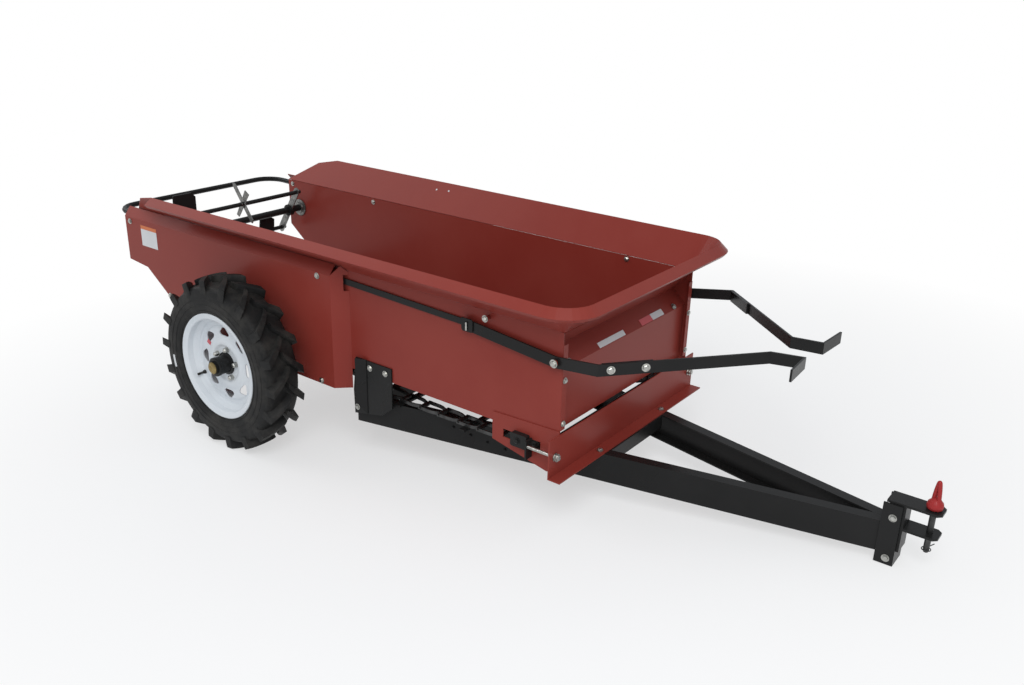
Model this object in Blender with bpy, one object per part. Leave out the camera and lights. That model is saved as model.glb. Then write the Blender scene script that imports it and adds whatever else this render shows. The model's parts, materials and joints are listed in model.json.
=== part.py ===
"""Small ground-driven manure spreader: red flared tub on two wheels, A-frame drawbar, rear beater."""
import math

import bmesh
import bpy
from mathutils import Matrix, Vector

for old in list(bpy.data.objects):
    bpy.data.objects.remove(old)

# ---- driving sizes, metres, with the machine level: x across, -y towards the hitch, axle above y = 0
GAP = 0.0003  # between pieces that touch
SHEET = 0.003
TYRE_R = 0.3435
AXLE_Z = 0.331  # of the level machine, as its other heights are
TYRE_W = 0.144
HALF_TRACK = 0.593
RIM_R = 0.208
DISC_X = 0.020
BEAD_R = 0.190
TUB_HALF = 0.417  # to the outer face of a side wall
TUB_REAR = 0.80
TUB_FRONT = -1.4226
WALL_FOOT = 0.381
WALL_TOP = 0.7595
FLARE_OUT = 0.093
FLARE_UP = 0.1085
LIP_OUT = 0.024
LIP_DOWN = 0.024
SHIELD_OUT = 0.049  # from wall to shield
SHIELD_FRONT = -0.439
SHIELD_REAR = 0.829
PANEL_Y = -1.402
RAIL_Z0, RAIL_Z1 = 0.173, 0.2762
RAIL_REAR = -0.508
RAIL_NOSE = -2.334
RAIL_FLANGE = 0.040
PAN_HALF = 0.477
PAN_TOP = 0.414
SHAFT_Z = 0.350
FRONT_SHAFT_Y = -1.275
REAR_SHAFT_Y = 0.560
STRAND_R = 0.044
AXLE_R = 0.019
BEATER_Y, BEATER_Z, BEATER_R = 0.723, 0.632, 0.205
HOOP_R = 0.0115
HOOP_Y, HOOP_Z = 0.955, 0.745
PIVOT_Y, PIVOT_Z = -1.408, 0.664
BAR_W, BAR_T = 0.038, 0.0065
LEVER_X = TUB_HALF + 0.0147
PIN_Y, PIN_Z = -1.045, 0.700
LINK_EYE_Y, LINK_EYE_Z = -0.300, 0.7245
STUD_R, LINK_PIN_R = 0.0062, 0.005
STRAP_TOP, STRAP_LOW = 0.3525, 0.2725
HITCH_Y = -2.467
FOOT_Z = 0.14
NOSE_Y = -2.391

WALL_IN = TUB_HALF - SHEET
# nose-down pitch at which the foot of the hitch bracket meets the floor
REACH = math.hypot(NOSE_Y, AXLE_Z - FOOT_Z)
PITCH = math.asin(TYRE_R / REACH) - math.atan2(AXLE_Z - FOOT_Z, -NOSE_Y)

PAINT = {
    "red": ((0.30, 0.055, 0.040), 0.35, 0.0),
    "black": ((0.020, 0.020, 0.021), 0.40, 0.0),
    "white": ((0.75, 0.78, 0.80), 0.35, 0.0),
    "rubber": ((0.030, 0.029, 0.027), 0.85, 0.0),
    "zinc": ((0.55, 0.54, 0.50), 0.35, 1.0),
    "steel": ((0.22, 0.21, 0.20), 0.50, 1.0),
    "grip_red": ((0.45, 0.04, 0.04), 0.45, 0.0),
}

root = bpy.data.objects.new("machine", None)
bpy.context.scene.collection.objects.link(root)


def material(node, paint):
    colour, rough, metal = PAINT[paint]
    found = bpy.data.materials.new(node)
    found.use_nodes = True
    shader = found.node_tree.nodes["Principled BSDF"]
    shader.inputs["Base Color"].default_value = (*colour, 1)
    shader.inputs["Roughness"].default_value = rough
    shader.inputs["Metallic"].default_value = metal
    found.diffuse_color = (*colour, 1)
    return found


def solid(name, paint, verts, faces, smooth=False, origin=(0, 0, 0)):
    """One closed mesh under the root, its origin at the given point."""
    shape = bmesh.new()
    made = [shape.verts.new(Vector(v) - Vector(origin)) for v in verts]
    for face in faces:
        shape.faces.new([made[i] for i in face])
    bmesh.ops.recalc_face_normals(shape, faces=shape.faces)
    if shape.calc_volume(signed=True) < 0:
        bmesh.ops.reverse_faces(shape, faces=shape.faces)
    mesh = bpy.data.meshes.new(name)
    shape.to_mesh(mesh)
    shape.free()
    for polygon in mesh.polygons:
        polygon.use_smooth = smooth
    if smooth:
        mesh.set_sharp_from_angle(angle=math.radians(35))
    thing = bpy.data.objects.new(name, mesh)
    bpy.context.scene.collection.objects.link(thing)
    thing.parent = root
    thing.location = origin
    if paint:
        mesh.materials.append(material(name, paint))
    return thing


def loops(rings, closed=False):
    """Verts and faces through equal rings; the ends get caps unless the rings close on themselves."""
    count = len(rings[0])
    verts = [p for ring in rings for p in ring]
    faces = []
    for i in range(len(rings) if closed else len(rings) - 1):
        a, b = i * count, (i + 1) % len(rings) * count
        for j in range(count):
            k = (j + 1) % count
            faces.append((a + j, a + k, b + k, b + j))
    if not closed:
        faces += [tuple(range(count)), tuple(range(len(verts) - count, len(verts)))]
    return verts, faces


def at(axis, u, v, w):
    """Point with w along the axis and (u, v) along the other two, in x, y, z order."""
    return {"x": (w, u, v), "y": (u, w, v), "z": (u, v, w)}[axis]


def prism(outline, axis, low, high):
    return loops([[at(axis, u, v, w) for u, v in outline] for w in (low, high)])


def box(x, y, z):
    return prism([(x[0], y[0]), (x[1], y[0]), (x[1], y[1]), (x[0], y[1])], "z", *z)


def folded(points, thick):
    """Outline of a folded sheet; the points run along one face and the sheet lies to their right."""
    far = []
    for i, point in enumerate(points):
        here = Vector(point)
        ways = []
        if i:
            ways.append((here - Vector(points[i - 1])).normalized())
        if i < len(points) - 1:
            ways.append((Vector(points[i + 1]) - here).normalized())
        sides = [Vector((w.y, -w.x)) for w in ways]
        mid = sum(sides, Vector((0, 0))).normalized()
        far.append(tuple(here + mid * (thick / mid.dot(sides[0]))))
    return list(points) + far[::-1]


def turned(profile, centre, axis="x", count=32, hollow=False, turn=0.0):
    """Profile of (along, radius) turned about an axis through centre; hollow means the profile is a ring."""
    rings = []
    for i in range(count):
        angle = turn + 2 * math.pi * i / count
        c, s = math.cos(angle), math.sin(angle)
        ring = []
        for along, radius in profile:
            u, v = radius * c, radius * s
            if axis == "x":
                ring.append((centre[0] + along, centre[1] + u, centre[2] + v))
            elif axis == "y":
                ring.append((centre[0] + v, centre[1] + along, centre[2] + u))
            else:
                ring.append((centre[0] + u, centre[1] + v, centre[2] + along))
        rings.append(ring)
    if hollow:
        return loops(rings, closed=True)
    size = len(profile)
    verts = [p for ring in rings for p in ring]
    faces = []
    for i in range(count):
        a, b = i * size, (i + 1) % count * size
        faces += [(a + j, a + j + 1, b + j + 1, b + j) for j in range(size - 1)]
    faces.append(tuple(i * size for i in range(count)))
    faces.append(tuple(i * size + size - 1 for i in range(count)))
    return verts, faces


def rod(centre, axis, low, high, radius, count=20, turn=0.0):
    return turned([(low, radius), (high, radius)], centre, axis, count, turn=turn)


def rounded(points, radius, steps=6):
    """The path with each inner corner turned into an arc."""
    path = [Vector(points[0])]
    for before, corner, after in zip(points, points[1:], points[2:]):
        corner = Vector(corner)
        a = (Vector(before) - corner).normalized()
        b = (Vector(after) - corner).normalized()
        half = a.angle(b) / 2
        reach = radius / math.tan(half)
        centre = corner + (a + b).normalized() * (radius / math.sin(half))
        start, stop = corner + a * reach - centre, corner + b * reach - centre
        for k in range(steps + 1):
            path.append(centre + start.slerp(stop, k / steps).normalized() * radius)
    path.append(Vector(points[-1]))
    return path


def pipe(path, radius, count=12):
    rings, side = [], None
    for i, point in enumerate(path):
        way = (path[min(i + 1, len(path) - 1)] - path[max(i - 1, 0)]).normalized()
        if side is None:
            side = way.orthogonal().normalized()
        side = (side - way * side.dot(way)).normalized()
        up = way.cross(side)
        rings.append([
            tuple(point + radius * (side * math.cos(t) + up * math.sin(t)))
            for t in (2 * math.pi * k / count for k in range(count))
        ])
    return loops(rings)


def flat_bar(points, width, thick):
    """Flat bar standing on edge along the points, mitred in plan."""
    path = [Vector(p) for p in points]
    rings = []
    for i, point in enumerate(path):
        ways = []
        if i:
            ways.append((path[i] - path[i - 1]).to_2d().normalized())
        if i < len(path) - 1:
            ways.append((path[i + 1] - path[i]).to_2d().normalized())
        sides = [Vector((w.y, -w.x)) for w in ways]
        mid = sum(sides, Vector((0, 0))).normalized()
        out = (mid * (thick / 2 / mid.dot(sides[0]))).to_3d()
        up = Vector((0, 0, width / 2))
        rings.append([tuple(point + a * out + b * up) for a, b in ((1, 1), (1, -1), (-1, -1), (-1, 1))])
    return loops(rings)


def helper(shape, label):
    made = solid(label, None, *shape)
    made.hide_render = True
    made.display_type = "WIRE"
    return made


def fuse(thing, shapes, way="UNION"):
    """Adds or cuts each shape with an exact Boolean."""
    for i, shape in enumerate(shapes):
        step = thing.modifiers.new(way.lower(), "BOOLEAN")
        step.operation = way
        step.solver = "EXACT"
        step.object = helper(shape, f"{thing.name}_{way.lower()}_{i}")
    return thing


def cut(thing, shapes):
    return fuse(thing, shapes, "DIFFERENCE")


def merged(shapes):
    verts, faces = [], []
    for v, f in shapes:
        faces += [tuple(i + len(verts) for i in face) for face in f]
        verts += v
    return verts, faces


def flip(shape, side):
    """The shape, mirrored to the right-hand side where side is -1."""
    return [(side * x, y, z) for x, y, z in shape[0]], shape[1]


SIDES = {"right": -1, "left": 1}

# ---- tub
wall_outline = [
    (TUB_FRONT, WALL_FOOT),
    (REAR_SHAFT_Y + 0.037, WALL_FOOT),
    (TUB_REAR, WALL_FOOT + 0.157),
    (TUB_REAR, WALL_TOP - GAP),
    (TUB_FRONT, WALL_TOP - GAP),
]
STOP_Y, STOP_Z = -1.131, 0.741
for label, side in SIDES.items():
    wall = solid(f"side_wall_{label}", "red", *flip(prism(wall_outline, "x", WALL_IN, TUB_HALF), side))
    pivot = turned(
        [(-0.0015, STUD_R), (0.0215, STUD_R), (0.0215, 0.011), (0.0285, 0.011)],
        (TUB_HALF, PIVOT_Y, PIVOT_Z), count=20)
    stop = rod((TUB_HALF, STOP_Y, STOP_Z), "x", -0.0015, 0.021, 0.007)
    fuse(wall, [flip(pivot, side), flip(stop, side)])

# flare and lip, one sheet round three sides; the rear ends are cut on a slant
CORNER = 0.012
flare_face = [
    (0.0, WALL_TOP),
    (0.81 * FLARE_OUT, WALL_TOP + 0.81 * FLARE_UP),
    (FLARE_OUT, WALL_TOP + FLARE_UP),
    (FLARE_OUT + LIP_OUT, WALL_TOP + FLARE_UP - LIP_DOWN),
    (FLARE_OUT + LIP_OUT - 0.008, WALL_TOP + FLARE_UP - LIP_DOWN - 0.010),
]
flare_outline = folded(flare_face[::-1], SHEET)
rear_cut = [(0.0, TUB_REAR), (0.81 * FLARE_OUT, 0.655), (FLARE_OUT, 0.547), (FLARE_OUT + 0.03, 0.56)]


def rear_at(out):
    for (a, ya), (b, yb) in zip(rear_cut, rear_cut[1:]):
        if out <= b:
            return ya + (yb - ya) * max(out - a, 0) / (b - a)
    return rear_cut[-1][1]


stations = []
for side in (-1, 1):
    end = [(side * (TUB_HALF + d), rear_at(d), z) for d, z in flare_outline]
    arc = []
    for k in range(9):
        t = math.radians(90 * k / 8)
        out = (side * math.cos(t), -math.sin(t))
        base = (side * (TUB_HALF - CORNER) + CORNER * out[0], TUB_FRONT + CORNER + CORNER * out[1])
        arc.append([(base[0] + d * out[0], base[1] + d * out[1], z) for d, z in flare_outline])
    stations.append([end] + arc)
solid("flare_rim", "red", *loops(stations[0] + stations[1][::-1]), smooth=True)

panel_face = [
    (PANEL_Y, PAN_TOP + 0.0025),
    (PANEL_Y, 0.6235),
    (PANEL_Y + 0.053, 0.677),
    (TUB_FRONT + 0.0010, WALL_TOP - 0.0024),
]
front_panel = solid("front_panel", "red", *prism(folded(panel_face, SHEET), "x", -WALL_IN + GAP, WALL_IN - GAP))
FLOOR_TOP = WALL_FOOT + 0.0075
solid("bed_floor", "red", *box(
    (-WALL_IN + GAP, WALL_IN - GAP), (FRONT_SHAFT_Y + 0.048, REAR_SHAFT_Y - 0.048),
    (WALL_FOOT + 0.0035, FLOOR_TOP)))

# ---- front angle across the nose of the tub, and take-ups on its ends
pan_back = TUB_FRONT - GAP
pan_outline = [
    (pan_back, PAN_TOP), (pan_back - 0.004, PAN_TOP), (pan_back - 0.004, RAIL_Z1 + GAP + 0.004),
    (-1.470, RAIL_Z1 + GAP + 0.004), (-1.470, RAIL_Z1 + GAP), (pan_back, RAIL_Z1 + GAP),
]
pan = solid("front_angle", "red", *prism(pan_outline, "x", -PAN_HALF, PAN_HALF))
ROD_X, ROD_Z = TUB_HALF + 0.028, 0.347
cut(pan, [flip(rod((ROD_X, 0, ROD_Z), "y", pan_back - 0.02, pan_back + 0.02, 0.0075), s) for s in (-1, 1)])

plate_outline = [
    (-1.155, 0.415), (-1.155, 0.315), (-1.380, 0.268), (TUB_FRONT, 0.280), (TUB_FRONT, 0.425),
]
SLOT = ((-1.353, -1.200), (SHAFT_Z - 0.015, SHAFT_Z + 0.015))
PLATE_IN, PLATE_OUT = TUB_HALF + GAP, TUB_HALF + GAP + 0.004
for label, side in SIDES.items():
    plate = solid(f"takeup_plate_{label}", "red", *flip(prism(plate_outline, "x", PLATE_IN, PLATE_OUT), side))
    cut(plate, [flip(box((PLATE_IN - 0.02, PLATE_OUT + 0.02), *SLOT), side)])
    block = box(
        (PLATE_OUT + GAP, PLATE_OUT + 0.020), (FRONT_SHAFT_Y - 0.040, FRONT_SHAFT_Y + 0.040),
        (SHAFT_Z - 0.018, SHAFT_Z + 0.020))
    takeup = solid(f"takeup_{label}", "black", *flip(block, side))
    tab = box(
        (PLATE_OUT + GAP, ROD_X + 0.010), (FRONT_SHAFT_Y - 0.0455, FRONT_SHAFT_Y - 0.0395), (0.302, SHAFT_Z + 0.020))
    screw = turned(
        [(0.0, 0.006), (-0.1095, 0.006), (-0.1095, 0.011), (-0.1195, 0.011), (-0.1195, 0.006), (-0.136, 0.006)],
        (ROD_X, -1.318, ROD_Z), "y", 12)
    fuse(takeup, [flip(tab, side), flip(screw, side)])

# ---- chain covers in front of the wheels
COVER_X = TUB_HALF + SHIELD_OUT
cover_face = [
    (SHIELD_REAR, 0.741), (SHIELD_FRONT, 0.741), (SHIELD_FRONT, 0.302), (0.378, 0.302), (0.702, 0.536),
    (SHIELD_REAR, 0.549),
]
for label, side in SIDES.items():
    cover = solid(
        f"chain_cover_{label}", "red", *flip(prism(cover_face, "x", COVER_X - SHEET, COVER_X), side))
    lean = folded([(COVER_X, 0.7385), (COVER_X, 0.741), (COVER_X - 0.0285, 0.7785)][::-1], SHEET)
    top = prism(lean, "y", SHIELD_FRONT, SHIELD_REAR)
    inner = (TUB_HALF + GAP, SHIELD_FRONT - SHIELD_OUT + GAP)
    front = []
    for dx, dy in ((0, 0), (0.0021, 0.0021)):
        front.append([
            (COVER_X - 0.0004, SHIELD_FRONT + dy, 0.302), (inner[0], inner[1] + 2 * dy, 0.302),
            (inner[0], inner[1] + 2 * dy, 0.7550), (COVER_X - 0.0285, SHIELD_FRONT - 0.0285 + dy, 0.7780),
            (COVER_X - 0.0004, SHIELD_FRONT + dy, 0.7405),
        ])
    fuse(cover, [flip(top, side), flip(loops(front), side)])
    cut(cover, [
        flip(rod((COVER_X, 0, AXLE_Z), "x", -0.02, 0.02, 0.028, 24), side),
        flip(box((TUB_HALF - 0.01, TUB_HALF + 0.0145), (-0.52, -0.45), (0.684, 0.744)), side),
    ])

# ---- running gear
HANGER_IN, HANGER_OUT = TUB_HALF + GAP, TUB_HALF + GAP + 0.006
hanger_outline = [
    (-0.09, 0.470), (-0.09, 0.285), (0.10, 0.285), (REAR_SHAFT_Y + 0.03, 0.318), (REAR_SHAFT_Y + 0.03, 0.384),
    (0.10, 0.470),
]
for label, side in SIDES.items():
    hanger = solid(f"axle_hanger_{label}", "black", *flip(prism(hanger_outline, "x", HANGER_IN, HANGER_OUT), side))
    cut(hanger, [
        flip(rod((TUB_HALF, 0, AXLE_Z), "x", -0.02, 0.03, AXLE_R + GAP, 24), side),
        flip(rod((TUB_HALF, REAR_SHAFT_Y, SHAFT_Z), "x", -0.02, 0.03, 0.0125 + GAP, 20), side),
    ])
AXLE_END = HALF_TRACK + 0.079
solid("axle", "steel", *rod((0, 0, AXLE_Z), "x", -AXLE_END, AXLE_END, AXLE_R, 24), smooth=True)

FLAT = 1 / math.cos(math.pi / 48)
half = TYRE_W / 2
tread = [
    (-0.0640, BEAD_R + GAP), (0.0640, BEAD_R + GAP), (0.0645, RIM_R + 0.004), (half, 0.250), (half - 0.002, 0.305),
    (half - 0.016, TYRE_R - 0.006), (half - 0.036, TYRE_R), (0.036 - half, TYRE_R), (0.016 - half, TYRE_R - 0.006),
    (0.002 - half, 0.305), (-half, 0.250), (-0.0645, RIM_R + 0.004),
]
rim = [
    (-0.070, RIM_R), (-0.0655, RIM_R), (-0.0655, BEAD_R), (0.0655, BEAD_R), (0.0655, RIM_R), (0.070, RIM_R),
    (0.070, 0.186), (0.022, 0.181), (0.018, 0.172), (0.0165, 0.155), (DISC_X, 0.110), (DISC_X, 0.0365),
    (DISC_X - 0.004, 0.0365), (DISC_X - 0.004, 0.109), (0.0125, 0.155), (0.0125, 0.180), (-0.066, 0.184),
    (-0.070, 0.186),
]
SEAT = DISC_X - 0.004 - GAP
hub = [
    (-0.113, 0.034), (SEAT - 0.008, 0.034), (SEAT - 0.008, 0.058), (SEAT, 0.058), (SEAT, 0.0355), (0.078, 0.0355),
    (0.078, 0.026), (0.086, 0.026),
]
for label, side in SIDES.items():
    centre = (side * HALF_TRACK, 0, AXLE_Z)
    down = -math.pi / 2 - PITCH + math.pi / 48
    tyre = turned([(side * a, r * FLAT) for a, r in tread], centre, "x", 48, hollow=True, turn=down)
    solid(f"tyre_{label}", "rubber", *tyre, smooth=True, origin=centre)
    wheel = turned([(side * a, r) for a, r in rim], centre, "x", 48, hollow=True, turn=down)
    solid(f"rim_{label}", "white", *wheel, smooth=True, origin=centre)
    outer = [(side * a, r) for a, r in hub]
    barrel = solid(f"hub_{label}", "black", *turned(outer, centre, "x", 32), smooth=True, origin=centre)
    bore = helper(rod(centre, "x", side * -0.13, side * 0.0805, AXLE_R + 0.0005, 24), f"hub_{label}_bore")
    step = barrel.modifiers.new("bore", "BOOLEAN")
    step.operation, step.solver, step.object = "DIFFERENCE", "EXACT", bore

# ---- drawbar
slope = (TUB_HALF - 0.0005 - 0.0335) / (RAIL_REAR - RAIL_NOSE)


def rail_x(y):
    return 0.0335 + slope * (y - RAIL_NOSE)


for label, side in SIDES.items():
    rings = []
    for y in (RAIL_REAR, NOSE_Y + 0.012):
        x, f, t = rail_x(y), RAIL_FLANGE, 0.005
        rings.append([
            (x, y, RAIL_Z0), (x, y, RAIL_Z1), (x - f, y, RAIL_Z1), (x - f, y, RAIL_Z1 - t), (x - t, y, RAIL_Z1 - t),
            (x - t, y, RAIL_Z0 + t), (x - f, y, RAIL_Z0 + t), (x - f, y, RAIL_Z0),
        ])
    rail = solid(f"drawbar_rail_{label}", "black", *flip(loops(rings), side))
    cut(rail, [flip(box((-0.2, 0.0003), (-2.6, -1.9), (0.1, 0.4)), side)])
    bracket = prism(
        [(-0.513, 0.435), (-0.693, 0.435), (-0.693, 0.277), (-0.640, 0.235), (-0.500, 0.205), (-0.497, 0.300)],
        "x", HANGER_IN, HANGER_OUT)
    solid(f"frame_bracket_{label}", "black", *flip(bracket, side))

for name, y in (("front_cross_member", -1.455), ("rear_cross_member", -0.560)):
    front, back = y - 0.020, y + 0.020
    angle = [
        (front, 0.2262), (front, RAIL_Z1), (back, RAIL_Z1), (back, RAIL_Z1 - 0.005), (front + 0.005, RAIL_Z1 - 0.005),
        (front + 0.005, 0.2262),
    ]
    reach = rail_x(front) - RAIL_FLANGE - GAP
    solid(name, "black", *prism(angle, "x", -reach, reach))

BRACKET_IN, BRACKET_OUT = 0.0338, 0.040
STRAP_T = 0.008
BRACKET_TOP = STRAP_TOP - STRAP_T - GAP
channel = [
    (-BRACKET_OUT, RAIL_NOSE), (-BRACKET_OUT, NOSE_Y), (BRACKET_OUT, NOSE_Y), (BRACKET_OUT, RAIL_NOSE),
    (BRACKET_IN, RAIL_NOSE), (BRACKET_IN, NOSE_Y + 0.006), (-BRACKET_IN, NOSE_Y + 0.006), (-BRACKET_IN, RAIL_NOSE),
]
solid("hitch_bracket", "black", *prism(channel, "z", FOOT_Z, BRACKET_TOP))

back = NOSE_Y - GAP
tip = HITCH_Y - 0.030
jaw = [
    (RAIL_NOSE - 0.007, STRAP_TOP), (tip, STRAP_TOP), (tip, STRAP_TOP - STRAP_T), (back - 0.008, STRAP_TOP - STRAP_T),
    (back - 0.008, STRAP_LOW), (tip, STRAP_LOW), (tip, STRAP_LOW - STRAP_T), (back - 0.008, STRAP_LOW - STRAP_T),
    (back - 0.008, 0.190), (back, 0.190), (back, STRAP_TOP - STRAP_T), (RAIL_NOSE - 0.007, STRAP_TOP - STRAP_T),
]
clevis = solid("hitch_clevis", "black", *prism(jaw, "x", -0.033, 0.033))
plan = [(-0.04, -2.2), (-0.04, tip + 0.02), (-0.020, tip - 0.0001), (0.020, tip - 0.0001), (0.04, tip + 0.02), (0.04, -2.2)]
fuse(clevis, [prism(plan, "z", 0.1, 0.5)], "INTERSECT")
cut(clevis, [rod((0, HITCH_Y, 0), "z", 0.2, 0.4, 0.0090, 24)])
pin = [
    (0.222, 0.0078), (STRAP_TOP + GAP, 0.0078), (STRAP_TOP + GAP, 0.018), (0.372, 0.018), (0.381, 0.010),
    (0.430, 0.008), (0.442, 0.004),
]
origin = (0, HITCH_Y, STRAP_TOP)
pin = [(z - STRAP_TOP, r) for z, r in pin]
solid("hitch_pin", "grip_red", *turned(pin, origin, "z", 24), smooth=True, origin=origin)

# ---- apron: two strands and their slats in one fixed loop, over a front and a rear shaft
RETURN = [(-1.15, 0.2950), (-0.80, 0.2940), (-0.62, 0.3000), (-0.30, 0.3612), (0.22, 0.3612)]


def meets(shaft_y, point):
    """Angle in degrees at which a straight run from point meets the loop's circle, low on a shaft."""
    dy, dz = point[0] - shaft_y, point[1] - SHAFT_Z
    swing = math.degrees(math.acos(STRAND_R / math.hypot(dy, dz)))
    return math.degrees(math.atan2(dz, dy)) + math.copysign(swing, -dy)


def arc_points(shaft_y, start, stop, steps=11):
    angles = [math.radians(start + (stop - start) * k / steps) for k in range(steps + 1)]
    return [(shaft_y + STRAND_R * math.cos(t), SHAFT_Z + STRAND_R * math.sin(t)) for t in angles]


def loop_path():
    front = arc_points(FRONT_SHAFT_Y, 90, 360 + meets(FRONT_SHAFT_Y, RETURN[0]))
    return front + RETURN + arc_points(REAR_SHAFT_Y, meets(REAR_SHAFT_Y, RETURN[-1]) - 360, 90)


PATH = loop_path()


def band(low, high, inner, outer):
    rings = []
    for i, point in enumerate(PATH):
        here = Vector(point)
        a = (here - Vector(PATH[i - 1])).normalized()
        b = (Vector(PATH[(i + 1) % len(PATH)]) - here).normalized()
        sides = (Vector((a.y, -a.x)), Vector((b.y, -b.x)))
        mid = (sides[0] + sides[1]).normalized()
        mid = mid / mid.dot(sides[0])
        p, q = here + mid * inner, here + mid * outer
        rings.append([(low, *p), (high, *p), (high, *q), (low, *q)])
    return loops(rings, closed=True)


def along_loop(distance):
    """Point, direction and outward normal at a distance along the loop."""
    for i, point in enumerate(PATH):
        here, ahead = Vector(point), Vector(PATH[(i + 1) % len(PATH)])
        length = (ahead - here).length
        if distance <= length:
            way = (ahead - here).normalized()
            return here + way * distance, way, Vector((way.y, -way.x))
        distance -= length
    raise ValueError(distance)


STRAND_X, STRAND_T = 0.345, 0.0045
strands = merged([band(s * STRAND_X - 0.015, s * STRAND_X + 0.015, -STRAND_T, STRAND_T) for s in (-1, 1)])
total = sum((Vector(PATH[(i + 1) % len(PATH)]) - Vector(p)).length for i, p in enumerate(PATH))
SLATS = 13
slats = []
for k in range(SLATS):
    point, way, out = along_loop(total * (k + 0.35) / SLATS)
    corners = []
    for a, b in ((-0.012, -0.0035), (0.012, -0.0035), (0.012, 0.0155), (-0.012, 0.0155)):
        p = point + way * a + out * b
        corners.append((p.x, p.y))
    slats.append(prism(corners, "x", -0.400, 0.400))
apron = solid("apron", "steel", *strands)
fuse(apron, [merged(slats)])

for name, y, end in (("front_apron_shaft", FRONT_SHAFT_Y, PLATE_OUT), ("rear_apron_shaft", REAR_SHAFT_Y, HANGER_OUT + 0.012)):
    r, s = 0.0125, STRAND_R * math.cos(math.radians(9)) - STRAND_T - GAP
    profile = [(-end, r)]
    for centre in (-STRAND_X, STRAND_X):
        profile += [(centre - 0.009, r), (centre - 0.009, s), (centre + 0.009, s), (centre + 0.009, r)]
    profile.append((end, r))
    solid(name, "steel", *turned(profile, (0, y, SHAFT_Z), "x", 20), smooth=True)

# ---- rear: guard hoop and beater
HOOP_X = TUB_HALF + HOOP_R + GAP
path = rounded([
    (-HOOP_X, 0.640, HOOP_Z - 0.006), (-HOOP_X, HOOP_Y, HOOP_Z), (HOOP_X, HOOP_Y, HOOP_Z), (HOOP_X, 0.640, HOOP_Z - 0.006),
], 0.095)
solid("guard_hoop", "black", *pipe(path, HOOP_R), smooth=True)

for label, side in SIDES.items():
    flange = [(0.0143, 0.0166), (0.0143, 0.024), (0.006, 0.026), (0.006, 0.040), (0.0003, 0.040), (0.0003, 0.0166)]
    ring = turned([(side * (WALL_IN - a), r) for a, r in flange], (0, BEATER_Y, BEATER_Z), "x", 24, hollow=True)
    solid(f"beater_bearing_{label}", "zinc", *ring, smooth=True)

centre = (0, BEATER_Y, BEATER_Z)
BEATER_END = WALL_IN - 0.002
beater = solid("beater", "black", *rod(centre, "x", -BEATER_END, BEATER_END, 0.0155, 20), origin=centre)
BAR_TURN, BAR_REACH, BAR_END = 122.4, 0.1146, 0.362


def paddle(x, degrees, start, stop, wide, thick=0.006, middle=0.0):
    """Flat plate square to the shaft, reaching from start to stop in the given direction."""
    t = math.radians(degrees)
    way, across = Vector((math.cos(t), math.sin(t))), Vector((-math.sin(t), math.cos(t)))
    corners = []
    for a, b in ((start, -1), (stop, -1), (stop, 1), (start, 1)):
        p = Vector(centre[1:]) + way * a + across * (b * wide / 2 + middle)
        corners.append((p.x, p.y))
    return prism(corners, "x", x - thick / 2, x + thick / 2)


rotor = []
for turn in (BAR_TURN, BAR_TURN + 180):
    t = math.radians(turn)
    spot = (0, BEATER_Y + BAR_REACH * math.cos(t), BEATER_Z + BAR_REACH * math.sin(t))
    rotor.append(rod(spot, "x", -BAR_END, BAR_END, 0.0095, 14))
ARM_X = 0.340
PADDLE, PADDLE_LEAN = 0.100, 32.0
for x in (-ARM_X, ARM_X):
    rotor.append(paddle(x, BAR_TURN, -BAR_REACH - 0.020, BAR_REACH + 0.020, 0.034))
for x, turn in ((0.022, BAR_TURN), (-0.130, BAR_TURN + 180)):  # crossed blades
    rotor.append(paddle(x, turn, 0.045, BEATER_R - 0.020, 0.030))
    rotor.append(paddle(x, turn - 68, -0.055, 0.155, 0.022, middle=BAR_REACH * math.sin(math.radians(68))))
for low, high, turn in ((-0.340, -0.225, BAR_TURN), (0.150, 0.270, BAR_TURN + 180)):  # flat paddles along a bar
    t, lean = math.radians(turn), math.radians(turn - PADDLE_LEAN)
    foot = Vector(centre[1:]) + Vector((math.cos(t), math.sin(t))) * BAR_REACH
    way, across = Vector((math.cos(lean), math.sin(lean))), Vector((-math.sin(lean), math.cos(lean)))
    corners = [tuple(foot + way * a + across * b)
               for a, b in ((-0.014, -0.003), (PADDLE, -0.003), (PADDLE, 0.003), (-0.014, 0.003))]
    rotor.append(prism(corners, "x", low, high))
fuse(beater, rotor)

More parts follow.
